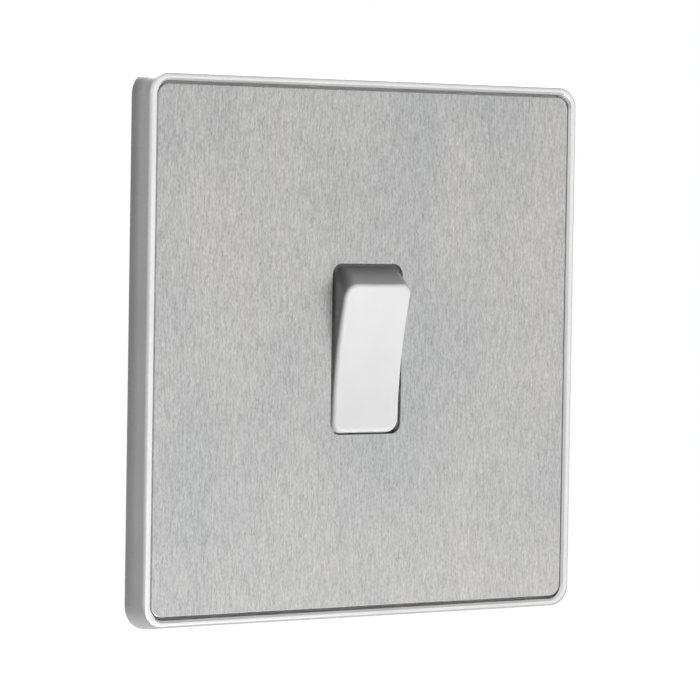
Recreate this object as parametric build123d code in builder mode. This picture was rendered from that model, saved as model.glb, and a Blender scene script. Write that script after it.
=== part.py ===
"""Intermediate light switch: screwless square plate with one concave rocker.

Millimetres. X runs to the right, Z upwards, and Y into the wall. The origin is the centre of the
plate on the wall's surface, so the front faces -Y. The rocker is drawn with its lower end pressed.
"""

import os
from math import atan2, cos, hypot, degrees, radians, sin, sqrt

from build123d import *

os.makedirs("parts", exist_ok=True)

# Trim frame
PLATE = 95.0
PLATE_CORNER_R = 4.2
TRIM_DEPTH = 4.95
WALL_FOOT = 1.9
FOOT_TAPER = 2.5
WALL_TAPER = 9.0
WALL_BLEND_R = 12.0
RIM_OUTER_R = 0.6
RIM_SLOPE = 0.4
POCKET = (90.7, 91.5)
POCKET_R = 2.6
GROOVE = (0.9, 0.6)
HOLLOW = 91.4
HOLLOW_R = 2.6
WEB_BACK = 2.75
WEB_WINDOW = (17.6, 34.6)
WEB_WINDOW_R = 3.4
RELIEF_R = 4.8
RIB_T = 1.2
RIB_REACH = 40.0
RIB_Z = 33.0
RIB_CLEAR = 0.15
LEVER_NOTCH = (8.0, 1.2)

# Clip legs of the trim frame, and their slots in the yoke
LEG_X = 27.0
LEG_Z = 26.0
LEG_W = 6.0
LEG_T = 1.2
LEG_TIP = 2.4
BARB_AT = 1.3
BARB_ROOT = 0.5
BARB = 0.35
LEG_SLOT = (6.8, 2.6)

# Steel faceplate
STEEL = 90.5
STEEL_R = 2.3
STEEL_T = 0.5
STEEL_FRONT = 4.55
STEEL_BEVEL = 0.15
WINDOW = (15.5, 29.9)
WINDOW_R = 2.0

# Mounting yoke
YOKE = 84.0
YOKE_R = 5.0
YOKE_T = 1.2
FIXING_CENTRES = 60.3
FIXING_SLOT = (7.0, 4.0)
SWAGE = (34.0, 3.2)
SWAGE_X = 22.5
SWAGE_H = 0.6
SWAGE_WALL = 0.6
SWAGE_EDGE_R = 0.4
STAKE_X = 17.4
STAKE_Z = 12.0
STAKE_R = 1.2
STAKE_HEAD = (1.92, 0.7)
STAKE_DIMPLE_R = 0.3
STAKE_GAP = 0.1

# Switch module
MODULE = (30.0, 39.0)
MODULE_R = 1.5
MODULE_GAP = 0.2
FLANGE = (39.0, 44.6)
FLANGE_T = 1.0
FLANGE_R = 3.0
COLLAR = (17.0, 34.0)
COLLAR_R = 3.4
COLLAR_INNER = (15.4, 32.2)
COLLAR_INNER_R = 2.6
COLLAR_FRONT = 3.75
CAVITY = (15.4, 34.6)
CAVITY_FRONT = 1.6
BASE_FRONT = 10.5
BASE_REAR = 21.0
CORE_X = 11.9
CORE = (3.6, 11.0)
CORE_R = 0.8
CORE_Z = 9.5
CORE_FLOOR = 8.8

# Terminal base
CHAMBER = (14.4, 19.2)
CHAMBER_R = 1.0
STRIP_GAP = 0.1
BRIDGE_GAP = 0.3
ENTRY_R = 2.5
ENTRY_LEAD = 0.4
WELL = (9.4, 9.6)
WELL_R = 1.0
WELL_X = 9.1
WELL_Z = 14.0
WELL_DEPTH = 0.8
BASE_EDGE_R = 0.4

# Rocker
PIVOT_Y = 4.35
REST_TILT = 8.0
ROCKER_W = 14.55
ROCKER_R = 16.92
FACE_END = 10.98
FACE_SAG = 0.87
SKIRT_END = 3.3
LOBE = (2.6, 3.2)
ROCKER_CORNER_R = 2.2
ROCKER_EDGE_R = 0.8
FACE_WALL = 1.8
SIDE_WALL = 1.3
RIB_LAP = 0.4
TRUNNION_R = 1.75
TRUNNION_END = 9.2
BEARING_R = 1.82
BEARING_END = 9.4
LEAD_IN = 0.6

# Plungers and their springs, placed by their distance behind the pivot
POLE_X = 4.2
PLUNGER_R = 1.2
NOSE_CENTRE = 7.36
SHOULDER = -1.0
SPIGOT_R = 0.5
SPIGOT_L = 2.0
SOCKET_R = 1.28
SOCKET_OUTER_R = 2.1
SOCKET_FLOOR = -7.5
SOCKET_MOUTH = 5.0
COIL_R = 0.9
WIRE_R = 0.16
COIL_PITCH = 1.1
COIL_GAP = 0.05

# See-saw contact bars
BAR_PIVOT_Y = 12.0
BAR_REST = -8.0
BAR_ANGLE = 10.0
BAR_W = 4.2
BAR_T = 0.8
BEND_R = 1.0
BAR_END_R = 1.4
ARM = 8.6
ARM_END = 0.2
TIP_AT = 7.0
TIP_R = 1.3
TIP_T = 0.5
TIP_EDGE = 0.15
NOTCH = (1.15, 1.7)

# Brass strips
STRIP_FRONT = 15.2
STRIP_T = 0.8
STRIP_X = 9.5
STRIP_W = 3.0
LINK_W = 2.0
LINK_PAD = 3.2
LINK_PAD_R = 0.6
LINK_ARM_W = 2.4
BRIDGE_DROP = 2.0
BRIDGE_BEND = (3.6, 5.0)
CONTACT_Z = 7.0
FIXED_TIP_FRONT = 14.15
SADDLE_Y = 13.85
PRONG_FRONT = 12.4
PRONG_W = 0.75
TONGUE_T = 0.8

# Wire clamps
CLAMP = (6.4, 7.8, 8.0)
CLAMP_REAR = 18.4
CLAMP_Z = 14.5
WIRE_Y = 13.8
WIRE_BORE_R = 2.0
WIRE_BORE_L = 6.0
THREAD_R = 1.75
SCREW_Z = 15.5
SCREW_R = 1.65
SCREW_HEAD_R = 2.4
SCREW_HEAD = (18.9, 20.5)
SCREW_TIP = 16.0
SCREW_ACCESS_R = 2.75
SCREW_EDGE = 0.25
DRIVER_SLOT = (0.8, 0.8)
SLOT_TURN = 30.0
TAB_DEPTH = 1.4
TAB_GAP = 0.02
BLOCK_EDGE = 0.4

# Module screws and the earth clamp
MODULE_SCREW_X = 12.8
MODULE_SCREW_R = 1.05
MODULE_SCREW_HEAD = (1.6, 1.4)
MODULE_SCREW_EDGE_R = 0.5
MODULE_SCREW_SEAT = 19.3
MODULE_SCREW_END = 5.35
MODULE_SCREW_GAP = 0.1
CROSS_RECESS = (2.0, 0.5, 0.9)
EARTH = (-12.0, -28.4)
EARTH_BLOCK = (7.0, 7.2, 7.6)
EARTH_RIVET_R = 1.5
EARTH_RIVET_HEAD = (2.4, 0.5)
EARTH_WIRE_Y = 3.6
EARTH_SCREW_UP = 3.0
EARTH_SCREW_LIFT = 0.4
EARTH_HEAD_T = 1.6

SIDES = {"left": -1, "right": 1}
NEAR = 0.01


def facing_front(y):
    """Plane at depth y: its x runs to the right, its y upwards, and its normal to the viewer."""
    return Plane.XZ.offset(-y)


def tilted_side(centre_y, tilt):
    """Plane across an X axis at centre_y: its x runs to the rear and its y upwards, at the tilt."""
    a = radians(tilt)
    return Plane(origin=(0, centre_y, 0), x_dir=(0, cos(a), sin(a)), z_dir=(1, 0, 0))


def tilted_front(centre_y, tilt):
    """Plane through the same axis: its x runs to the right, and its normal to the front."""
    a = radians(tilt)
    return Plane(origin=(0, centre_y, 0), x_dir=(1, 0, 0), z_dir=(0, -cos(a), -sin(a)))


def save(builder, label):
    """Name a finished piece and write it."""
    builder.part.label = label
    export_step(builder.part, f"parts/{label}.step")


# Trim frame: surround with curved walls and a rounded rim, a web, ribs and clip legs
WEB_FRONT = STEEL_FRONT - STEEL_T

with BuildPart() as trim_frame:
    with BuildSketch(facing_front(0)):
        RectangleRounded(PLATE, PLATE, PLATE_CORNER_R)
    extrude(amount=WALL_FOOT, taper=FOOT_TAPER)
    extrude(
        trim_frame.faces().sort_by(Axis.Y)[0],
        amount=TRIM_DEPTH - WALL_FOOT,
        taper=WALL_TAPER,
    )
    bend = trim_frame.edges().filter_by_position(Axis.Y, -WALL_FOOT - NEAR, NEAR - WALL_FOOT)
    fillet(bend, WALL_BLEND_R)
    fillet(trim_frame.faces().sort_by(Axis.Y)[0].edges(), RIM_OUTER_R)
    with BuildSketch(facing_front(-TRIM_DEPTH)):
        RectangleRounded(*POCKET, POCKET_R)
    extrude(amount=WEB_FRONT - TRIM_DEPTH, mode=Mode.SUBTRACT)
    rim = trim_frame.faces().sort_by(Axis.Y)[0]
    chamfer(rim.inner_wires()[0].edges(), RIM_SLOPE)
    with BuildSketch(facing_front(-WEB_FRONT)):
        RectangleRounded(*POCKET, POCKET_R)
        RectangleRounded(
            POCKET[0] - 2 * GROOVE[0],
            POCKET[1] - 2 * GROOVE[0],
            POCKET_R - GROOVE[0],
            mode=Mode.SUBTRACT,
        )
    extrude(amount=-GROOVE[1], mode=Mode.SUBTRACT)
    with BuildSketch(facing_front(0)):
        RectangleRounded(HOLLOW, HOLLOW, HOLLOW_R)
    extrude(amount=WEB_BACK, mode=Mode.SUBTRACT)
    with BuildSketch(facing_front(-WEB_BACK)):
        RectangleRounded(*WEB_WINDOW, WEB_WINDOW_R)
        with GridLocations(FIXING_CENTRES, 0, 2, 1):
            Circle(RELIEF_R)
    extrude(amount=TRIM_DEPTH, mode=Mode.SUBTRACT)
    with BuildSketch(facing_front(-WEB_BACK)):
        with GridLocations(2 * RIB_REACH, 0, 2, 1):
            Rectangle(RIB_T, 2 * RIB_Z)
        with GridLocations(0, 2 * RIB_Z, 1, 2):
            Rectangle(2 * RIB_REACH, RIB_T)
    extrude(amount=YOKE_T + RIB_CLEAR - WEB_BACK)
    for leg_x in (-LEG_X, LEG_X):
        for up in (-1, 1):
            with BuildSketch(Plane.YZ.offset(leg_x)):
                with BuildLine():
                    Polyline(
                        (-WEB_BACK, up * (LEG_Z - LEG_T / 2)),
                        (LEG_TIP, up * (LEG_Z - LEG_T / 2)),
                        (LEG_TIP, up * (LEG_Z + LEG_T / 6)),
                        (BARB_AT, up * (LEG_Z + LEG_T / 2 + BARB)),
                        (BARB_ROOT, up * (LEG_Z + LEG_T / 2)),
                        (-WEB_BACK, up * (LEG_Z + LEG_T / 2)),
                        close=True,
                    )
                make_face()
            extrude(amount=LEG_W / 2, both=True)
    with BuildSketch(Plane.XY.offset(-PLATE / 2)):
        Rectangle(LEVER_NOTCH[0], 2 * LEVER_NOTCH[1])
    extrude(amount=(PLATE - HOLLOW) / 2, mode=Mode.SUBTRACT)
save(trim_frame, "trim_frame")

# Steel faceplate: one thin sheet with the rocker's window, its outer edge bevelled
with BuildPart() as steel_faceplate:
    with BuildSketch(facing_front(-WEB_FRONT)):
        RectangleRounded(STEEL, STEEL, STEEL_R)
        RectangleRounded(*WINDOW, WINDOW_R, mode=Mode.SUBTRACT)
    extrude(amount=STEEL_T)
    chamfer(steel_faceplate.faces().sort_by(Axis.Y)[0].outer_wire().edges(), STEEL_BEVEL)
save(steel_faceplate, "steel_faceplate")

# Mounting yoke: pressed sheet with the fixing slots, clip slots, stake holes and two swages
with BuildPart() as mounting_yoke:
    with BuildSketch(facing_front(0)):
        RectangleRounded(YOKE, YOKE, YOKE_R)
        RectangleRounded(
            MODULE[0] + 2 * MODULE_GAP,
            MODULE[1] + 2 * MODULE_GAP,
            MODULE_R,
            mode=Mode.SUBTRACT,
        )
        with GridLocations(FIXING_CENTRES, 0, 2, 1):
            SlotOverall(*FIXING_SLOT, mode=Mode.SUBTRACT)
        with GridLocations(2 * LEG_X, 2 * LEG_Z + BARB / 2, 2, 2):
            Rectangle(*LEG_SLOT, mode=Mode.SUBTRACT)
        with GridLocations(2 * STAKE_X, 2 * STAKE_Z, 2, 2):
            Circle(STAKE_R + STAKE_GAP, mode=Mode.SUBTRACT)
        with Locations(EARTH):
            Circle(EARTH_RIVET_R + STAKE_GAP / 2, mode=Mode.SUBTRACT)
    extrude(amount=YOKE_T)
    with BuildSketch(facing_front(-YOKE_T)):
        with GridLocations(2 * SWAGE_X, 0, 2, 1):
            SlotOverall(*SWAGE, rotation=90)
    extrude(amount=SWAGE_H)
    fillet(mounting_yoke.faces().sort_by(Axis.Y)[:2].edges(), SWAGE_EDGE_R)
    with BuildSketch(facing_front(0)):
        with GridLocations(2 * SWAGE_X, 0, 2, 1):
            SlotOverall(SWAGE[0] - 2 * SWAGE_WALL, SWAGE[1] - 2 * SWAGE_WALL, rotation=90)
    extrude(amount=SWAGE_H, mode=Mode.SUBTRACT)
save(mounting_yoke, "mounting_yoke")

# Rocker housing: cradle with collar and flange, staked through the yoke, open to the rear
with BuildPart() as rocker_housing:
    with BuildSketch(facing_front(BASE_FRONT)):
        RectangleRounded(*MODULE, MODULE_R)
    extrude(amount=BASE_FRONT + YOKE_T)
    with BuildSketch(facing_front(-YOKE_T)):
        RectangleRounded(*FLANGE, FLANGE_R)
    extrude(amount=FLANGE_T)
    with BuildSketch(facing_front(-YOKE_T - FLANGE_T)):
        RectangleRounded(*COLLAR, COLLAR_R)
    extrude(amount=COLLAR_FRONT - YOKE_T - FLANGE_T)
    with BuildSketch(facing_front(BASE_FRONT)):
        RectangleRounded(*CAVITY, MODULE_R)
    extrude(amount=BASE_FRONT + CAVITY_FRONT, mode=Mode.SUBTRACT)
    with BuildSketch(facing_front(-YOKE_T)):
        RectangleRounded(*COLLAR_INNER, COLLAR_INNER_R)
    extrude(amount=COLLAR_FRONT, mode=Mode.SUBTRACT)
    with BuildSketch(facing_front(-YOKE_T - FLANGE_T)):
        with GridLocations(2 * CORE_X, 2 * CORE_Z, 2, 2):
            RectangleRounded(*CORE, CORE_R)
    extrude(amount=-YOKE_T - FLANGE_T - CORE_FLOOR, mode=Mode.SUBTRACT)
    with BuildSketch(Plane.YZ):
        with Locations((PIVOT_Y, 0)):
            Circle(BEARING_R)
    extrude(amount=BEARING_END, both=True, mode=Mode.SUBTRACT)
    with BuildSketch(Plane.YZ):
        with Locations(((PIVOT_Y + BASE_FRONT) / 2, 0)):
            Rectangle(BASE_FRONT - PIVOT_Y, 2 * TRUNNION_R)
    extrude(amount=CAVITY[0] / 2 + LEAD_IN, both=True, mode=Mode.SUBTRACT)
    with BuildSketch(facing_front(BASE_FRONT)):
        with GridLocations(2 * MODULE_SCREW_X, 0, 2, 1):
            Circle(MODULE_SCREW_R + MODULE_SCREW_GAP / 2)
    extrude(amount=BASE_FRONT - PIVOT_Y, mode=Mode.SUBTRACT)
    with BuildSketch(facing_front(0)):
        with GridLocations(2 * STAKE_X, 2 * STAKE_Z, 2, 2):
            Circle(STAKE_R)
    extrude(amount=YOKE_T)
    with BuildSketch(facing_front(0)):
        with GridLocations(2 * STAKE_X, 2 * STAKE_Z, 2, 2):
            Circle(STAKE_HEAD[0])
            Circle(STAKE_DIMPLE_R, mode=Mode.SUBTRACT)
    extrude(amount=-STAKE_HEAD[1])
save(rocker_housing, "rocker_housing")

# Terminal base: rear moulding with the contact chamber, strip channels and clamp pockets
LINK_SPAN = hypot(2 * POLE_X, 2 * CONTACT_Z)
LINK_TURN = degrees(atan2(CONTACT_Z, POLE_X))
STRIP_BACK = STRIP_FRONT + STRIP_T
CLAMP_INNER_Z = CLAMP_Z - CLAMP[2] / 2
CLAMP_OUTER_Z = CLAMP_Z + CLAMP[2] / 2

with BuildPart() as terminal_base:
    with BuildSketch(facing_front(BASE_REAR)):
        RectangleRounded(*MODULE, MODULE_R)
    extrude(amount=BASE_REAR - BASE_FRONT)
    fillet(terminal_base.faces().sort_by(Axis.Y)[-1].edges(), BASE_EDGE_R)
    with BuildSketch(facing_front(BASE_REAR)):
        with GridLocations(2 * WELL_X, 2 * WELL_Z, 2, 2):
            RectangleRounded(*WELL, WELL_R)
    extrude(amount=WELL_DEPTH, mode=Mode.SUBTRACT)
    with BuildSketch(facing_front(BASE_FRONT)):
        RectangleRounded(*CHAMBER, CHAMBER_R)
        with GridLocations(2 * STRIP_X, 0, 2, 1):
            Rectangle(STRIP_W + 2 * STRIP_GAP, 2 * CLAMP_INNER_Z)
        for arm_z in (0, -CONTACT_Z):
            with Locations((0, arm_z)):
                Rectangle(2 * STRIP_X, LINK_ARM_W + 2 * STRIP_GAP)
    extrude(amount=BASE_FRONT - STRIP_BACK, mode=Mode.SUBTRACT)
    with BuildSketch(facing_front(STRIP_FRONT)):
        with Locations(Location((0, 0, 0), LINK_TURN)):
            Rectangle(2 * BRIDGE_BEND[1] + 2 * BRIDGE_GAP, LINK_W + 2 * BRIDGE_GAP)
    extrude(amount=-BRIDGE_DROP - STRIP_T - BRIDGE_GAP / 2, mode=Mode.SUBTRACT)
    with BuildSketch(facing_front(BASE_FRONT)):
        with GridLocations(2 * STRIP_X, 2 * CLAMP_Z, 2, 2):
            Rectangle(CLAMP[0] + 2 * STRIP_GAP, CLAMP[2] + 2 * STRIP_GAP)
    extrude(amount=BASE_FRONT - CLAMP_REAR, mode=Mode.SUBTRACT)
    for way in (-1, 1):
        with BuildSketch(Plane.XY.offset(way * CLAMP_Z)):
            with Locations((-STRIP_X, WIRE_Y), (STRIP_X, WIRE_Y)):
                Circle(ENTRY_R)
        extrude(amount=way * MODULE[1] / 4, mode=Mode.SUBTRACT)
    mouths = terminal_base.edges().filter_by(GeomType.CIRCLE).group_by(Axis.Z)
    chamfer(mouths[0] + mouths[-1], ENTRY_LEAD)
    with BuildSketch(facing_front(BASE_REAR)):
        with GridLocations(2 * STRIP_X, 2 * SCREW_Z, 2, 2):
            Circle(SCREW_ACCESS_R)
    extrude(amount=BASE_REAR - CLAMP_REAR, mode=Mode.SUBTRACT)
    with BuildSketch(facing_front(BASE_REAR)):
        with GridLocations(2 * MODULE_SCREW_X, 0, 2, 1):
            Circle(MODULE_SCREW_R + MODULE_SCREW_GAP)
    extrude(amount=BASE_REAR - BASE_FRONT, mode=Mode.SUBTRACT)
    with BuildSketch(facing_front(BASE_REAR)):
        with GridLocations(2 * MODULE_SCREW_X, 0, 2, 1):
            Circle(MODULE_SCREW_HEAD[0] + MODULE_SCREW_GAP)
    extrude(amount=BASE_REAR - MODULE_SCREW_SEAT, mode=Mode.SUBTRACT)
save(terminal_base, "terminal_base")


# Rocker: concave face, arc-shaped ends about the pivot, skirts, trunnions and two sockets
def on_arc(radius, x, sign):
    """Point of a circle about the pivot, above (+1) or below (-1) it."""
    return (x, sign * sqrt(radius**2 - x**2))


def arc_middle(radius, x_from, x_to, sign):
    """Point half way round between two points of that circle."""
    start = atan2(sqrt(radius**2 - x_from**2), x_from)
    end = atan2(sqrt(radius**2 - x_to**2), x_to)
    return (radius * cos((start + end) / 2), sign * radius * sin((start + end) / 2))


def end_arc(radius, x_front, x_rear, sign):
    """Arc of one end of the rocker's side view."""
    ThreePointArc(
        on_arc(radius, x_front, sign),
        arc_middle(radius, x_front, x_rear, sign),
        on_arc(radius, x_rear, sign),
    )


rocker_side = tilted_side(PIVOT_Y, REST_TILT)
rocker_front = tilted_front(PIVOT_Y, REST_TILT)
rearwards = Axis(rocker_side.origin, rocker_side.x_dir)
inner_r = ROCKER_R - SIDE_WALL
inner_end = FACE_END - FACE_WALL
inner_half = ROCKER_W / 2 - SIDE_WALL

with BuildPart() as rocker:
    with BuildSketch(rocker_side):
        with BuildLine():
            ThreePointArc(
                on_arc(ROCKER_R, -FACE_END, 1),
                (FACE_SAG - FACE_END, 0),
                on_arc(ROCKER_R, -FACE_END, -1),
            )
            for sign in (-1, 1):
                end_arc(ROCKER_R, -FACE_END, -SKIRT_END, sign)
                Line(on_arc(ROCKER_R, -SKIRT_END, sign), (LOBE[0], sign * LOBE[1]))
            Line((LOBE[0], -LOBE[1]), LOBE)
        make_face()
    extrude(amount=ROCKER_W / 2, both=True)
    flank_arcs = rocker.edges().filter_by(GeomType.CIRCLE)
    fillet(flank_arcs.filter_by(lambda e: abs(e.radius - ROCKER_R) < NEAR), ROCKER_CORNER_R)
    fillet(rocker.faces().sort_by(rearwards)[0].edges(), ROCKER_EDGE_R)
    with BuildSketch(rocker_side):
        with BuildLine():
            ThreePointArc(
                on_arc(inner_r, -inner_end, 1),
                (FACE_SAG - inner_end, 0),
                on_arc(inner_r, -inner_end, -1),
            )
            for sign in (-1, 1):
                end_arc(inner_r, -inner_end, -LOBE[0], sign)
                corner = on_arc(inner_r, -LOBE[0], sign)
                Line(corner, (2 * LOBE[0], corner[1]))
            Line((2 * LOBE[0], -corner[1]), (2 * LOBE[0], corner[1]))
        make_face()
    extrude(amount=inner_half, both=True, mode=Mode.SUBTRACT)
    with BuildSketch(rocker_side):
        with Locations((-(inner_end + SKIRT_END - RIB_LAP) / 2, 0)):
            Rectangle(inner_end - SKIRT_END + RIB_LAP, RIB_T)
    extrude(amount=inner_half, both=True)
    with BuildSketch(rocker_front.offset(-SOCKET_MOUTH)):
        with GridLocations(2 * POLE_X, 0, 2, 1):
            Circle(SOCKET_OUTER_R)
    extrude(amount=SOCKET_MOUTH + inner_end)
    with BuildSketch(rocker_front.offset(-SOCKET_MOUTH)):
        with GridLocations(2 * POLE_X, 0, 2, 1):
            Circle(SOCKET_R)
    extrude(amount=SOCKET_MOUTH - SOCKET_FLOOR, mode=Mode.SUBTRACT)
    for side in SIDES.values():
        with BuildSketch(rocker_side.offset(side * (ROCKER_W - SIDE_WALL) / 2)):
            Circle(TRUNNION_R)
        extrude(amount=side * (TRUNNION_END - (ROCKER_W - SIDE_WALL) / 2))
save(rocker, "rocker")


# Plungers: round-nosed pins with a spigot for the spring
def make_plunger(label, side):
    plane = rocker_side.offset(side * POLE_X)
    nose = NOSE_CENTRE + PLUNGER_R
    slant = PLUNGER_R * sqrt(0.5)
    with BuildPart() as plunger:
        with BuildSketch(plane):
            with BuildLine():
                Polyline(
                    (nose, 0),
                    (SHOULDER - SPIGOT_L, 0),
                    (SHOULDER - SPIGOT_L, SPIGOT_R),
                    (SHOULDER, SPIGOT_R),
                    (SHOULDER, PLUNGER_R),
                    (NOSE_CENTRE, PLUNGER_R),
                )
                ThreePointArc(
                    (NOSE_CENTRE, PLUNGER_R), (NOSE_CENTRE + slant, slant), (nose, 0)
                )
            make_face()
        revolve(axis=Axis(plane.origin, plane.x_dir))
    save(plunger, label)


# Plunger springs: round wire coiled between the socket's floor and the plunger's shoulder
def make_spring(label, side):
    plane = rocker_side.offset(side * POLE_X)
    start = plane.from_local_coords((SOCKET_FLOOR + WIRE_R + COIL_GAP, 0, 0))
    length = SHOULDER - SOCKET_FLOOR - 2 * (WIRE_R + COIL_GAP)
    with BuildPart() as spring:
        with BuildLine() as coil:
            Helix(COIL_PITCH, length, COIL_R, center=start, direction=plane.x_dir)
        with BuildSketch(Plane(origin=coil.line @ 0, z_dir=coil.line % 0)):
            Circle(WIRE_R)
        sweep(path=coil.line, is_frenet=True)
    save(spring, label)


for name, side in SIDES.items():
    make_plunger(f"plunger_{name}", side)
    make_spring(f"spring_{name}", side)


# Contact bars: shallow V of copper strip, notched at its bend for the fork's prongs
def make_contact_bar(label, side):
    v = radians(BAR_ANGLE)
    out = (cos(v), sin(v))
    along = (-sin(v), cos(v))

    def point(radius, distance, sign):
        return (
            radius * out[0] + distance * along[0],
            sign * (radius * out[1] + distance * along[1]),
        )

    outer = BEND_R + BAR_T
    with BuildPart() as bar:
        with BuildSketch(tilted_side(BAR_PIVOT_Y, BAR_REST).offset(side * POLE_X)):
            with BuildLine():
                for radius in (BEND_R, outer):
                    ThreePointArc(point(radius, 0, 1), (radius, 0), point(radius, 0, -1))
                    for sign in (-1, 1):
                        Line(point(radius, 0, sign), point(radius, ARM, sign))
                for sign in (-1, 1):
                    Line(point(BEND_R, ARM, sign), point(outer, ARM, sign))
            make_face()
        extrude(amount=BAR_W / 2, both=True)
        with BuildSketch(tilted_front(BAR_PIVOT_Y, BAR_REST)):
            with Locations((side * POLE_X, 0)):
                RectangleRounded(BAR_W, 2 * (ARM + ARM_END), BAR_END_R)
                with GridLocations(2 * NOTCH[0] + BAR_W, 0, 2, 1):
                    Rectangle(BAR_W, NOTCH[1], mode=Mode.SUBTRACT)
        extrude(amount=2 * BAR_W, both=True, mode=Mode.INTERSECT)
    save(bar, label)


def make_bar_tips(label, side):
    """Two silver tips on the rear faces of one bar's arms."""
    with BuildPart() as tips:
        for sign in (-1, 1):
            a = radians(BAR_REST + sign * BAR_ANGLE)
            reach = BEND_R + BAR_T
            centre = (
                side * POLE_X,
                BAR_PIVOT_Y + reach * cos(a) - sign * TIP_AT * sin(a),
                reach * sin(a) + sign * TIP_AT * cos(a),
            )
            with BuildSketch(Plane(origin=centre, x_dir=(1, 0, 0), z_dir=(0, cos(a), sin(a)))):
                Circle(TIP_R)
            extrude(amount=TIP_T)
    save(tips, label)


# Pole forks: strip from the clamp to the pole, with a tongue that carries the bar
def make_pole_fork(label, side):
    half = LINK_W / 2
    near = POLE_X - BAR_W / 2
    far = POLE_X + BAR_W / 2
    top = CLAMP_INNER_Z + TAB_DEPTH
    with BuildPart() as fork:
        with BuildSketch(facing_front(STRIP_BACK)):
            with Locations((side * (near + STRIP_X) / 2, 0)):
                Rectangle(STRIP_X - near, LINK_W)
            with Locations((side * STRIP_X, (top - half) / 2)):
                Rectangle(STRIP_W, top + half)
        extrude(amount=STRIP_T)
        with BuildSketch(Plane.XY):
            with BuildLine():
                Polyline(
                    (side * near, STRIP_BACK),
                    (side * near, PRONG_FRONT),
                    (side * (near + PRONG_W), PRONG_FRONT),
                    (side * (near + PRONG_W), SADDLE_Y),
                    (side * (far - PRONG_W), SADDLE_Y),
                    (side * (far - PRONG_W), PRONG_FRONT),
                    (side * far, PRONG_FRONT),
                    (side * far, STRIP_BACK),
                    close=True,
                )
            make_face()
        extrude(amount=TONGUE_T / 2, both=True)
    save(fork, label)


for name, side in SIDES.items():
    make_contact_bar(f"contact_bar_{name}", side)
    make_bar_tips(f"contact_tips_{name}", side)
    make_pole_fork(f"pole_fork_{name}", side)


# Cross links: each joins the upper contact of one pole to the lower contact of the other
def link_ends(side):
    """Contact pads and the arm that runs out to the clamp, on the side of the lower pad."""
    with Locations((-side * POLE_X, CONTACT_Z), (side * POLE_X, -CONTACT_Z)):
        RectangleRounded(LINK_PAD, LINK_PAD, LINK_PAD_R)
    with Locations((side * (POLE_X + STRIP_X) / 2, -CONTACT_Z)):
        Rectangle(STRIP_X - POLE_X, LINK_ARM_W)
    foot = CLAMP_INNER_Z + TAB_DEPTH
    with Locations((side * STRIP_X, -(foot + CONTACT_Z - LINK_ARM_W / 2) / 2)):
        Rectangle(STRIP_W, foot - CONTACT_Z + LINK_ARM_W / 2)


with BuildPart() as cross_link_front:
    with BuildSketch(facing_front(STRIP_BACK)):
        link_ends(1)
        with Locations(Location((0, 0, 0), -LINK_TURN)):
            Rectangle(LINK_SPAN, LINK_W)
    extrude(amount=STRIP_T)
save(cross_link_front, "cross_link_front")

with BuildPart() as cross_link_rear:
    with BuildSketch(facing_front(STRIP_BACK)):
        link_ends(-1)
    extrude(amount=STRIP_T)
    turn = radians(LINK_TURN)
    bridge = Plane(
        origin=(0, STRIP_FRONT + STRIP_T / 2, 0),
        x_dir=(cos(turn), 0, sin(turn)),
        z_dir=(-sin(turn), 0, cos(turn)),
    )
    with BuildSketch(bridge):
        with BuildLine():
            Polyline(
                (-LINK_SPAN / 2, 0),
                (-BRIDGE_BEND[1], 0),
                (-BRIDGE_BEND[0], BRIDGE_DROP),
                (BRIDGE_BEND[0], BRIDGE_DROP),
                (BRIDGE_BEND[1], 0),
                (LINK_SPAN / 2, 0),
            )
        trace(line_width=STRIP_T)
    extrude(amount=LINK_W / 2, both=True)
save(cross_link_rear, "cross_link_rear")

# Fixed contact tips: four silver rivet heads on the links
with BuildPart() as fixed_contact_tips:
    with BuildSketch(facing_front(STRIP_FRONT)):
        with GridLocations(2 * POLE_X, 2 * CONTACT_Z, 2, 2):
            Circle(TIP_R)
    extrude(amount=STRIP_FRONT - FIXED_TIP_FRONT)
    chamfer(fixed_contact_tips.faces().sort_by(Axis.Y)[:4].edges(), TIP_EDGE)
save(fixed_contact_tips, "fixed_contact_tips")


# Wire clamps: brass blocks with a wire bore, a threaded hole behind it and a slot for the strip
def make_wire_clamp(label, side, up):
    with BuildPart() as clamp:
        with BuildSketch(facing_front(CLAMP_REAR)):
            with Locations((side * STRIP_X, up * CLAMP_Z)):
                Rectangle(CLAMP[0], CLAMP[2])
        extrude(amount=CLAMP[1])
        chamfer(clamp.edges().filter_by(Axis.Z), BLOCK_EDGE)
        with BuildSketch(Plane.XY.offset(up * CLAMP_OUTER_Z)):
            with Locations((side * STRIP_X, WIRE_Y)):
                Circle(WIRE_BORE_R)
        extrude(amount=-up * WIRE_BORE_L, mode=Mode.SUBTRACT)
        with BuildSketch(facing_front(CLAMP_REAR)):
            with Locations((side * STRIP_X, up * SCREW_Z)):
                Circle(THREAD_R)
        extrude(amount=CLAMP_REAR - WIRE_Y, mode=Mode.SUBTRACT)
        with BuildSketch(Plane.XY.offset(up * CLAMP_INNER_Z)):
            with Locations((side * STRIP_X, STRIP_FRONT + STRIP_T / 2)):
                Rectangle(STRIP_W + 2 * TAB_GAP, STRIP_T + 2 * TAB_GAP)
        extrude(amount=up * (TAB_DEPTH + TAB_GAP), mode=Mode.SUBTRACT)
    save(clamp, label)


for name, side in SIDES.items():
    make_wire_clamp(f"pole_terminal_{name}", side, 1)
    make_wire_clamp(f"outlet_terminal_{name}", side, -1)

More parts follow.
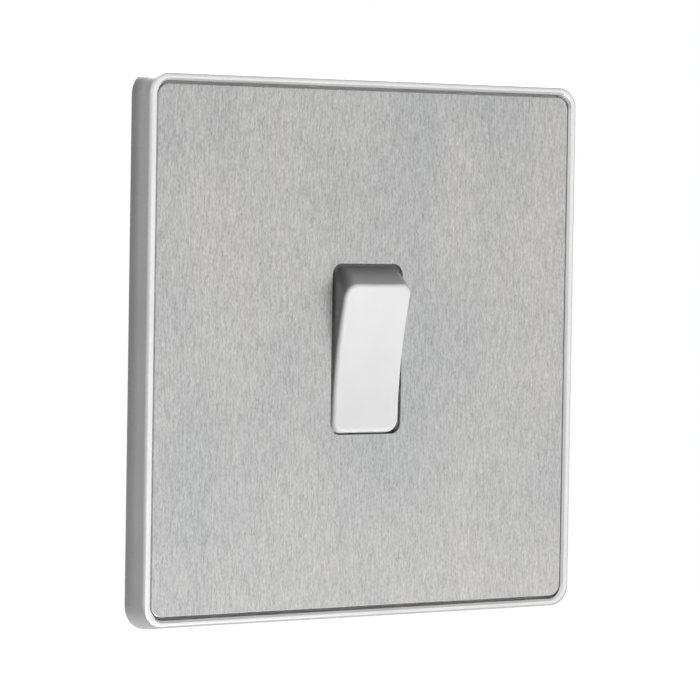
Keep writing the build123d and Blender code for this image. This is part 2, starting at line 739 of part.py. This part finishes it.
# Terminal screws: cheese heads with a driving slot, backed out so that the bores are free
with BuildPart() as terminal_screws:
    with BuildSketch(facing_front(SCREW_HEAD[1])):
        with GridLocations(2 * STRIP_X, 2 * SCREW_Z, 2, 2):
            Circle(SCREW_HEAD_R)
    extrude(amount=SCREW_HEAD[1] - SCREW_HEAD[0])
    chamfer(terminal_screws.faces().sort_by(Axis.Y)[-4:].edges(), SCREW_EDGE)
    with BuildSketch(facing_front(SCREW_HEAD[0])):
        with GridLocations(2 * STRIP_X, 2 * SCREW_Z, 2, 2):
            Circle(SCREW_R)
    extrude(amount=SCREW_HEAD[0] - SCREW_TIP)
    with BuildSketch(facing_front(SCREW_HEAD[1])):
        with GridLocations(2 * STRIP_X, 2 * SCREW_Z, 2, 2):
            Rectangle(2 * SCREW_HEAD_R, DRIVER_SLOT[0], rotation=SLOT_TURN)
    extrude(amount=DRIVER_SLOT[1], mode=Mode.SUBTRACT)
save(terminal_screws, "terminal_screws")

# Module screws: through the base into the housing, heads sunk in the rear face
with BuildPart() as module_screws:
    with BuildSketch(facing_front(MODULE_SCREW_SEAT)):
        with GridLocations(2 * MODULE_SCREW_X, 0, 2, 1):
            Circle(MODULE_SCREW_R)
    extrude(amount=MODULE_SCREW_SEAT - MODULE_SCREW_END)
    with BuildSketch(facing_front(MODULE_SCREW_SEAT)):
        with GridLocations(2 * MODULE_SCREW_X, 0, 2, 1):
            Circle(MODULE_SCREW_HEAD[0])
    extrude(amount=-MODULE_SCREW_HEAD[1])
    fillet(module_screws.faces().sort_by(Axis.Y)[-2:].edges(), MODULE_SCREW_EDGE_R)
    with BuildSketch(facing_front(MODULE_SCREW_SEAT + MODULE_SCREW_HEAD[1])):
        with GridLocations(2 * MODULE_SCREW_X, 0, 2, 1):
            Rectangle(CROSS_RECESS[0], CROSS_RECESS[1])
            Rectangle(CROSS_RECESS[1], CROSS_RECESS[0])
    extrude(amount=CROSS_RECESS[2], mode=Mode.SUBTRACT)
save(module_screws, "module_screws")

# Earth clamp: brass block riveted behind the yoke, with a bore from below and its own screw
EARTH_LOW_Z = EARTH[1] - EARTH_BLOCK[2] / 2
EARTH_SCREW = (EARTH[0], EARTH_LOW_Z + EARTH_SCREW_UP)
EARTH_SEAT = EARTH_BLOCK[1] + EARTH_SCREW_LIFT

with BuildPart() as earth_terminal:
    with BuildSketch(facing_front(0)):
        with Locations(EARTH):
            Rectangle(EARTH_BLOCK[0], EARTH_BLOCK[2])
    extrude(amount=-EARTH_BLOCK[1])
    chamfer(earth_terminal.edges().filter_by(Axis.Z), BLOCK_EDGE)
    with BuildSketch(facing_front(0)):
        with Locations(EARTH):
            Circle(EARTH_RIVET_R)
    extrude(amount=YOKE_T)
    with BuildSketch(facing_front(-YOKE_T)):
        with Locations(EARTH):
            Circle(EARTH_RIVET_HEAD[0])
    extrude(amount=EARTH_RIVET_HEAD[1])
    with BuildSketch(Plane.XY.offset(EARTH_LOW_Z)):
        with Locations((EARTH[0], EARTH_WIRE_Y)):
            Circle(WIRE_BORE_R)
    extrude(amount=WIRE_BORE_L, mode=Mode.SUBTRACT)
    with BuildSketch(facing_front(EARTH_BLOCK[1])):
        with Locations(EARTH_SCREW):
            Circle(THREAD_R)
    extrude(amount=EARTH_BLOCK[1] - EARTH_WIRE_Y, mode=Mode.SUBTRACT)
save(earth_terminal, "earth_terminal")

with BuildPart() as earth_screw:
    with BuildSketch(facing_front(EARTH_SEAT + EARTH_HEAD_T)):
        with Locations(EARTH_SCREW):
            Circle(SCREW_HEAD_R)
    extrude(amount=EARTH_HEAD_T)
    chamfer(earth_screw.faces().sort_by(Axis.Y)[-1].edges(), SCREW_EDGE)
    with BuildSketch(facing_front(EARTH_SEAT)):
        with Locations(EARTH_SCREW):
            Circle(SCREW_R)
    extrude(amount=EARTH_SEAT - EARTH_WIRE_Y - WIRE_BORE_R - TAB_GAP)
    with BuildSketch(facing_front(EARTH_SEAT + EARTH_HEAD_T)):
        with Locations(EARTH_SCREW):
            Rectangle(2 * SCREW_HEAD_R, DRIVER_SLOT[0], rotation=-SLOT_TURN)
    extrude(amount=DRIVER_SLOT[1], mode=Mode.SUBTRACT)
save(earth_screw, "earth_screw")
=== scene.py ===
"""Intermediate light switch, dressed for the render: finishes, studio light and camera.

Metres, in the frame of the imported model: X to the right, Y into the wall, Z up, origin at the
centre of the plate on the wall's surface.
"""

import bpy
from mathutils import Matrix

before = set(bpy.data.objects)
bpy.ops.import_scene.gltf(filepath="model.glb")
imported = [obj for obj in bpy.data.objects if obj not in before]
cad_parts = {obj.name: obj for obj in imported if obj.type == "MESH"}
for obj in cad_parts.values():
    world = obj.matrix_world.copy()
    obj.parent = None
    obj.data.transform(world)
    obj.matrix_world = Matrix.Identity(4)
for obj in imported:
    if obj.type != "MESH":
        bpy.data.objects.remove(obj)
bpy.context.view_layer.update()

from math import cos, radians, sin

import bpy
from mathutils import Matrix, Vector

MM = 0.001

# Reach of the silver paint on the surround: the pocket's rounded outline, and its depth
PAINT_HALF = 45.85 * MM
PAINT_R = 2.8 * MM
PAINT_DEPTH = -4.5 * MM
PAINT_FADE = 0.05 * MM

# Ranges of a noise's values that are stretched over a finish
BROAD = (0.3, 0.7)
MEDIUM = (0.32, 0.68)
NARROW = (0.35, 0.65)
EDGE_SAMPLES = 6

# Camera, from the perspective of the plate's edges in the photograph
CAMERA_PLACE = Vector((-447.8, -584.3, 24.7)) * MM
CAMERA_YAW = radians(37.452)
CAMERA_PITCH = radians(1.948)
CAMERA_ROLL = radians(0.905)
SENSOR = 36.0
PHOTO_PIXELS = 700
FOCAL_PIXELS = 4182.7
LENS = FOCAL_PIXELS / PHOTO_PIXELS * SENSOR
CLIP_START = 10 * MM
CLIP_END = 100

# Floor, its grey for diffuse light and its brightness in reflections
FLOOR_Z = -900 * MM
FLOOR_SIZE = 14.0
FLOOR_GREY = 0.5
FLOOR_ROUGH = 0.9
FLOOR_SPECULAR = 0.1
FLOOR_IN_GLOSS = 0.4

# World, as diffuse light sees it
WORLD_LIGHT = 0.02
# World, as reflections see it by the Y of their direction, from in front to behind the plate
STUDIO = ((-0.5, 1.0), (0.0, 0.64), (0.5, 0.64), (0.8, 0.17), (1.0, 0.14))

# Square lamps aimed at the plate's centre: name, place, width and power
LAMPS = (
    ("key", (0.264, -1.244, -0.795), 0.45, 24),
    ("fill", (0.9, -1.1, -0.3), 1.0, 1.0),
    ("back", (1.0, 1.5, 0.3), 1.8, 16),
    ("top", (0.3, 1.1, 1.5), 0.9, 18),
)


def make_camera():
    """The photograph's camera: turned by yaw, then pitched down, then rolled about its axis."""
    data = bpy.data.cameras.new("camera")
    data.sensor_width = SENSOR
    data.lens = LENS
    data.clip_start = CLIP_START
    data.clip_end = CLIP_END
    level = Vector((sin(CAMERA_YAW), cos(CAMERA_YAW), 0))
    look = level * cos(CAMERA_PITCH) - Vector((0, 0, sin(CAMERA_PITCH)))
    right = Vector((cos(CAMERA_YAW), -sin(CAMERA_YAW), 0))
    up = right.cross(look)
    right_rolled = right * cos(CAMERA_ROLL) + up * sin(CAMERA_ROLL)
    up_rolled = up * cos(CAMERA_ROLL) - right * sin(CAMERA_ROLL)
    camera = bpy.data.objects.new("camera", data)
    turn = Matrix((right_rolled, up_rolled, -look)).transposed()
    camera.matrix_world = Matrix.Translation(CAMERA_PLACE) @ turn.to_4x4()
    bpy.context.scene.collection.objects.link(camera)
    bpy.context.scene.camera = camera


# Node helpers
class Tree:
    """Short names for the nodes of one material or world."""

    def __init__(self, tree):
        self.tree = tree

    def add(self, kind, **settings):
        """New node with its settings."""
        node = self.tree.nodes.new(kind)
        for key, value in settings.items():
            setattr(node, key, value)
        return node

    def link(self, out, to):
        self.tree.links.new(out, to)

    def value(self, socket, x):
        """Put a number, a colour or another node's output on a socket."""
        if isinstance(x, bpy.types.NodeSocket):
            self.link(x, socket)
        else:
            socket.default_value = x

    def math(self, operation, a, b=0.0):
        """One step of arithmetic."""
        node = self.add("ShaderNodeMath", operation=operation)
        self.value(node.inputs[0], a)
        self.value(node.inputs[1], b)
        return node.outputs[0]

    def noise(self, scale, detail=3.0, roughness=0.55, stretch=(1, 1, 1), seed=(0, 0, 0)):
        """Noise in the object's own metres; scale is in cells a metre, before the stretch."""
        place = self.add("ShaderNodeTexCoord").outputs["Object"]
        mapping = self.add("ShaderNodeMapping")
        mapping.inputs["Location"].default_value = seed
        mapping.inputs["Scale"].default_value = [scale * s for s in stretch]
        self.link(place, mapping.inputs["Vector"])
        node = self.add("ShaderNodeTexNoise")
        node.inputs["Scale"].default_value = 1.0
        node.inputs["Detail"].default_value = detail
        node.inputs["Roughness"].default_value = roughness
        self.link(mapping.outputs[0], node.inputs["Vector"])
        return node.outputs["Fac"]

    def span(self, x, low, high, from_low=0.0, from_high=1.0):
        """Map a number from one range to another."""
        node = self.add("ShaderNodeMapRange")
        self.value(node.inputs["Value"], x)
        node.inputs["From Min"].default_value = from_low
        node.inputs["From Max"].default_value = from_high
        node.inputs["To Min"].default_value = low
        node.inputs["To Max"].default_value = high
        return node.outputs["Result"]

    def blend(self, fac, a, b, how="MIX"):
        """Two colours mixed, or multiplied, by a factor."""
        node = self.add("ShaderNodeMix", data_type="RGBA", blend_type=how)
        self.value(node.inputs["Factor"], fac)
        self.value(node.inputs["A"], a)
        self.value(node.inputs["B"], b)
        return node.outputs["Result"]

    def ramp(self, x, stops):
        """Grey level by stops of place and level, straight between them."""
        node = self.add("ShaderNodeValToRGB")
        self.link(x, node.inputs["Fac"])
        marks = node.color_ramp.elements
        while len(marks) < len(stops):
            marks.new(0.5)
        for mark, (place, level) in zip(marks, stops):
            mark.position = place
            mark.color = grey(level)
        return node.outputs["Color"]

    def bump(self, height, depth, under):
        """Bump of a height map over another normal, its depth in metres."""
        node = self.add("ShaderNodeBump")
        node.inputs["Strength"].default_value = 1.0
        node.inputs["Distance"].default_value = depth
        self.value(node.inputs["Height"], height)
        self.link(under, node.inputs["Normal"])
        return node.outputs["Normal"]

    def soft_edge(self, radius):
        """Normal rounded over the edges by a radius in metres."""
        node = self.add("ShaderNodeBevel", samples=EDGE_SAMPLES)
        node.inputs["Radius"].default_value = radius
        return node.outputs["Normal"]


def grey(level, warmth=0.0):
    """Linear grey, a little warmer or cooler."""
    return (level * (1 + warmth), level, level * (1 - warmth), 1.0)


def new_material(name):
    """Material, its tree and its Principled shader."""
    material = bpy.data.materials.new(name)
    material.use_nodes = True
    tree = Tree(material.node_tree)
    shader = material.node_tree.nodes["Principled BSDF"]
    return material, tree, shader


# Finishes
def brushed_steel():
    """Stainless sheet, brushed upwards: short fine streaks in colour, gloss and height."""
    material, t, shader = new_material("brushed steel")
    fine = t.noise(4600, detail=2.0, roughness=0.6, stretch=(1, 1, 0.32))
    dash = t.noise(2800, detail=2.0, roughness=0.6, stretch=(1, 1, 0.16), seed=(7, 0, 3))
    cloud = t.noise(60, detail=2.0, roughness=0.5, stretch=(1, 1, 0.5), seed=(3, 0, 5))
    streak = t.math("ADD", t.math("MULTIPLY", fine, 0.55), t.math("MULTIPLY", dash, 0.45))
    base = t.blend(t.span(streak, 0, 1, *MEDIUM), grey(0.3, 0.002), grey(0.56, 0.002))
    tint = t.blend(t.span(cloud, 0, 1, *NARROW), grey(0.95, -0.006), grey(1.05, 0.008))
    t.link(t.blend(1.0, base, tint, "MULTIPLY"), shader.inputs["Base Color"])
    shader.inputs["Metallic"].default_value = 1.0
    t.link(t.span(streak, 0.47, 0.39, *BROAD), shader.inputs["Roughness"])
    shader.inputs["Anisotropic"].default_value = 0.5
    tangent = t.add("ShaderNodeTangent", direction_type="RADIAL", axis="Z")
    t.link(tangent.outputs[0], shader.inputs["Tangent"])
    normal = t.bump(streak, 0.006 * MM, t.soft_edge(0.08 * MM))
    t.link(normal, shader.inputs["Normal"])
    return material


def unpainted(t):
    """One in the pocket behind the steel and inside the surround, where the spray doesn't reach."""
    place = t.add("ShaderNodeSeparateXYZ")
    t.link(t.add("ShaderNodeTexCoord").outputs["Object"], place.inputs[0])
    beyond = []
    for axis in ("X", "Z"):
        reach = t.math("ABSOLUTE", place.outputs[axis])
        past = t.math("MAXIMUM", t.math("SUBTRACT", reach, PAINT_HALF - PAINT_R), 0.0)
        beyond.append(t.math("MULTIPLY", past, past))
    corner = t.math("SQRT", t.math("ADD", *beyond))
    within = t.span(corner, 1, 0, PAINT_R, PAINT_R + PAINT_FADE)
    deep = t.span(place.outputs["Y"], 0, 1, PAINT_DEPTH, PAINT_DEPTH + PAINT_FADE)
    return t.math("MULTIPLY", within, deep)


def silver_paint():
    """Satin silver paint on a pale moulding: fine flake, slight unevenness, bare inside."""
    material, t, shader = new_material("silver paint")
    flake = t.noise(9000, detail=2.0, roughness=0.6)
    drift = t.noise(90, roughness=0.5, seed=(2, 4, 1))
    shade = t.math("ADD", t.math("MULTIPLY", flake, 0.5), t.math("MULTIPLY", drift, 0.5))
    base = t.blend(t.span(shade, 0, 1, *BROAD), grey(0.68, -0.004), grey(0.77, 0.002))
    bare = unpainted(t)
    t.link(t.blend(bare, base, grey(0.8)), shader.inputs["Base Color"])
    t.link(t.span(bare, 0.85, 0.0), shader.inputs["Metallic"])
    t.link(t.span(flake, 0.26, 0.36, *BROAD), shader.inputs["Roughness"])
    shader.inputs["Coat Weight"].default_value = 0.25
    shader.inputs["Coat Roughness"].default_value = 0.15
    t.link(t.bump(flake, 0.004 * MM, t.soft_edge(0.1 * MM)), shader.inputs["Normal"])
    return material


def moulding(name, low, high, rough, edge=0.15, grain=0.01, warmth=0.0, specular=0.5):
    """Moulded plastic: spark-finish grain and faint flow marks. Edge and grain in millimetres."""
    material, t, shader = new_material(name)
    grain_map = t.noise(5200, roughness=0.6)
    flow = t.noise(140, seed=(5, 2, 8))
    base = t.blend(t.span(flow, 0, 1, *NARROW), grey(low, warmth), grey(high, warmth))
    t.link(base, shader.inputs["Base Color"])
    t.link(t.span(grain_map, rough - 0.05, rough + 0.05, *BROAD), shader.inputs["Roughness"])
    t.link(t.bump(grain_map, grain * MM, t.soft_edge(edge * MM)), shader.inputs["Normal"])
    shader.inputs["Specular IOR Level"].default_value = specular
    return material


def metal(name, dark, light, rough, cells=700, stretch=(1, 1, 1), depth=0.01, edge=0.06):
    """Plated, drawn or rolled metal, uneven in colour and gloss. Depth and edge in millimetres."""
    material, t, shader = new_material(name)
    wear = t.noise(cells, detail=4.0, roughness=0.6, stretch=stretch)
    fine = t.noise(cells * 6, detail=2.0, roughness=0.5, stretch=stretch, seed=(1, 6, 2))
    both = t.math("ADD", t.math("MULTIPLY", wear, 0.6), t.math("MULTIPLY", fine, 0.4))
    base = t.blend(t.span(both, 0, 1, *BROAD), (*dark, 1.0), (*light, 1.0))
    t.link(base, shader.inputs["Base Color"])
    shader.inputs["Metallic"].default_value = 1.0
    t.link(t.span(both, rough + 0.08, rough - 0.06, *BROAD), shader.inputs["Roughness"])
    t.link(t.bump(both, depth * MM, t.soft_edge(edge * MM)), shader.inputs["Normal"])
    return material


def dress():
    """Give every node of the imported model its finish."""
    finishes = {
        "silver": silver_paint(),
        "steel": brushed_steel(),
        "zinc": metal("zinc plate", (0.44, 0.45, 0.47), (0.62, 0.63, 0.62), 0.34, 260),
        "housing": moulding("white thermoset", 0.72, 0.8, 0.42),
        "base": moulding("off-white thermoset", 0.6, 0.68, 0.46, warmth=0.02),
        "rocker": moulding("rocker white", 0.88, 0.9, 0.38, 0.1, 0.004, specular=0.15),
        "nylon": moulding("natural nylon", 0.58, 0.66, 0.4, 0.05, 0.006, warmth=0.06),
        "wire": metal("spring wire", (0.38, 0.38, 0.4), (0.56, 0.56, 0.58), 0.22, 1500, edge=0.02),
        "copper": metal(
            "rolled copper", (0.62, 0.27, 0.15), (0.8, 0.4, 0.26), 0.3, 500, (1, 1, 0.3)
        ),
        "silver tip": metal("silver alloy", (0.7, 0.68, 0.64), (0.86, 0.84, 0.8), 0.28, 1500),
        "strip": metal("pressed brass", (0.62, 0.43, 0.15), (0.78, 0.58, 0.25), 0.28, 400),
        "clamp": metal(
            "machined brass", (0.58, 0.4, 0.14), (0.76, 0.56, 0.25), 0.24, 300, (1, 4, 1)
        ),
        "screw": metal("zinc screw", (0.42, 0.42, 0.42), (0.6, 0.6, 0.58), 0.3, 900),
    }
    wears = {
        "trim_frame": "silver",
        "steel_faceplate": "steel",
        "mounting_yoke": "zinc",
        "rocker_housing": "housing",
        "terminal_base": "base",
        "rocker": "rocker",
        "cross_link_front": "strip",
        "cross_link_rear": "strip",
        "fixed_contact_tips": "silver tip",
        "terminal_screws": "screw",
        "module_screws": "screw",
        "earth_screw": "screw",
        "earth_terminal": "clamp",
    }
    for side in ("left", "right"):
        wears[f"plunger_{side}"] = "nylon"
        wears[f"spring_{side}"] = "wire"
        wears[f"contact_bar_{side}"] = "copper"
        wears[f"contact_tips_{side}"] = "silver tip"
        wears[f"pole_fork_{side}"] = "strip"
        wears[f"pole_terminal_{side}"] = "clamp"
        wears[f"outlet_terminal_{side}"] = "clamp"
    for name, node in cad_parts.items():
        node.data.materials.clear()
        node.data.materials.append(finishes[wears[name]])


# Studio
def seen(t, in_gloss=1.0):
    """One for the camera's rays and those through glass, in_gloss for reflections, else zero."""
    path = t.add("ShaderNodeLightPath")
    undiffused = t.math("LESS_THAN", path.outputs["Diffuse Depth"], 0.5)
    gloss = t.math("MULTIPLY", path.outputs["Is Glossy Ray"], in_gloss)
    direct = t.math("MAXIMUM", path.outputs["Is Camera Ray"], path.outputs["Is Transmission Ray"])
    return t.math("MULTIPLY", t.math("MAXIMUM", direct, gloss), undiffused)


def make_world():
    """White behind the object, a graded studio in reflections, and a faint even light."""
    world = bpy.data.worlds.new("studio")
    world.use_nodes = True
    bpy.context.scene.world = world
    t = Tree(world.node_tree)
    background = world.node_tree.nodes["Background"]
    toward = t.add("ShaderNodeSeparateXYZ")
    t.link(t.add("ShaderNodeTexCoord").outputs["Generated"], toward.inputs[0])
    stops = [((y + 1) / 2, level) for y, level in STUDIO]
    studio = t.ramp(t.span(toward.outputs["Y"], 0, 1, -1, 1), stops)
    t.link(t.blend(seen(t, studio), grey(WORLD_LIGHT), grey(1.0)), background.inputs["Color"])
    background.inputs["Strength"].default_value = 1.0


def make_floor():
    """Plain floor well below the plate, white to the camera."""
    mesh = bpy.data.meshes.new("floor")
    half = FLOOR_SIZE / 2
    corners = [(-half, -half, 0), (half, -half, 0), (half, half, 0), (-half, half, 0)]
    mesh.from_pydata(corners, [], [(0, 1, 2, 3)])
    floor = bpy.data.objects.new("floor", mesh)
    floor.location.z = FLOOR_Z
    bpy.context.scene.collection.objects.link(floor)
    material, t, shader = new_material("floor")
    shader.inputs["Base Color"].default_value = grey(FLOOR_GREY)
    shader.inputs["Roughness"].default_value = FLOOR_ROUGH
    shader.inputs["Specular IOR Level"].default_value = FLOOR_SPECULAR
    t.link(seen(t, FLOOR_IN_GLOSS), shader.inputs["Emission Strength"])
    shader.inputs["Emission Color"].default_value = grey(1.0)
    mesh.materials.append(material)


def area_light(name, place, width, power):
    """Square soft lamp that looks at the plate's centre."""
    data = bpy.data.lights.new(name, "AREA")
    data.shape = "RECTANGLE"
    data.size = data.size_y = width
    data.energy = power
    light = bpy.data.objects.new(name, data)
    light.location = place
    light.rotation_euler = (-Vector(place)).to_track_quat("-Z", "Y").to_euler()
    bpy.context.scene.collection.objects.link(light)


bpy.context.scene.view_settings.view_transform = "Standard"
make_camera()
dress()
make_world()
make_floor()
for lamp in LAMPS:
    area_light(*lamp)
